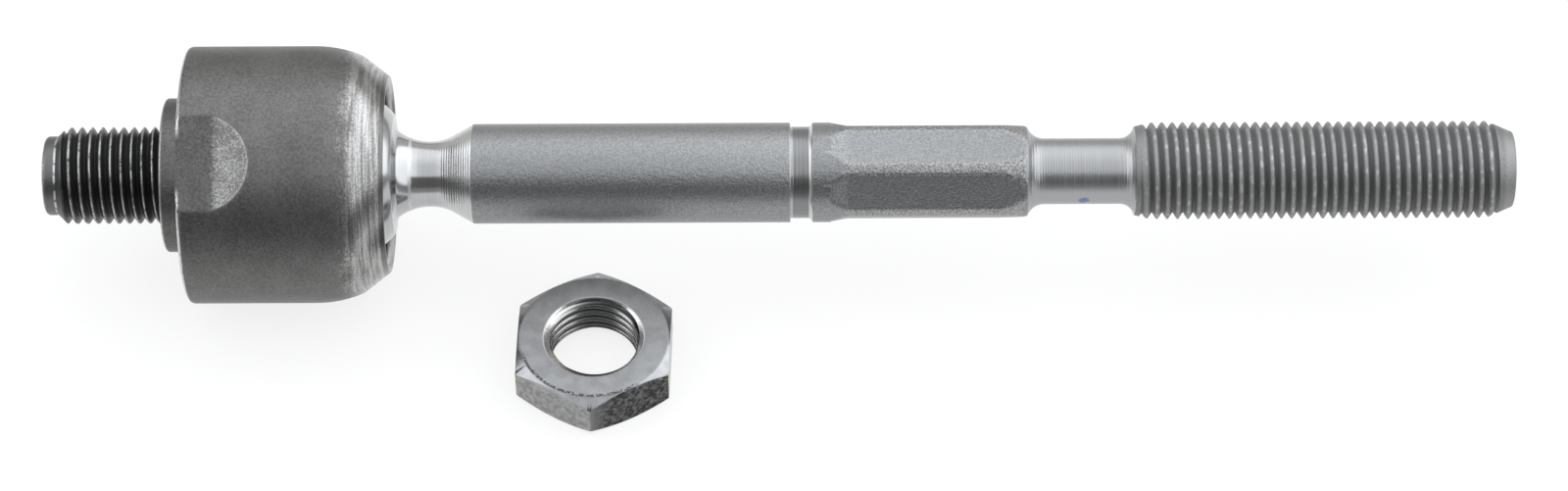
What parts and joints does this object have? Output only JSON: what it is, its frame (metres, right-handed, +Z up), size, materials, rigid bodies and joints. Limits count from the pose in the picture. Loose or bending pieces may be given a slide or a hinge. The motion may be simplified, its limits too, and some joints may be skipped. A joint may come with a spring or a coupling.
{
  "type": "inner tie rod",
  "caption": "Steering inner tie rod: threaded socket holding a ball on a rod with a hexagon and an outer thread, its thin lock nut lying beside it.",
  "frame": {"origin": "on the socket's axis, in the face of the collar that seats against the steering rack", "axes": "+X along the rod from the socket to the outer thread's end, +Z up, and the lock nut lies on the -Y side"},
  "size_m": [0.2117, 0.0521, 0.037],
  "materials": {
    "socket_steel": "dark phosphated forging, worn bright at the rear edge and rolled lip",
    "seat_plastic": "moulded bearing plastic",
    "rod_steel": "blasted shank and hexagon, bright turned necks, rolled thread",
    "nut_plating": "bright zinc plating"
  },
  "bodies": {
    "housing": {"housing": "socket_steel", "ball_seat": "seat_plastic", "lock_nut": "nut_plating"},
    "rod": {"tie_rod": "rod_steel"}
  },
  "joints": [
    {"name": "ball_swing", "type": "hinge", "parent": "housing", "child": "rod", "pos_m": [0.0226, 0, 0], "axis": [0, 0, 1], "range_deg": [-30, 30]}
  ]
}
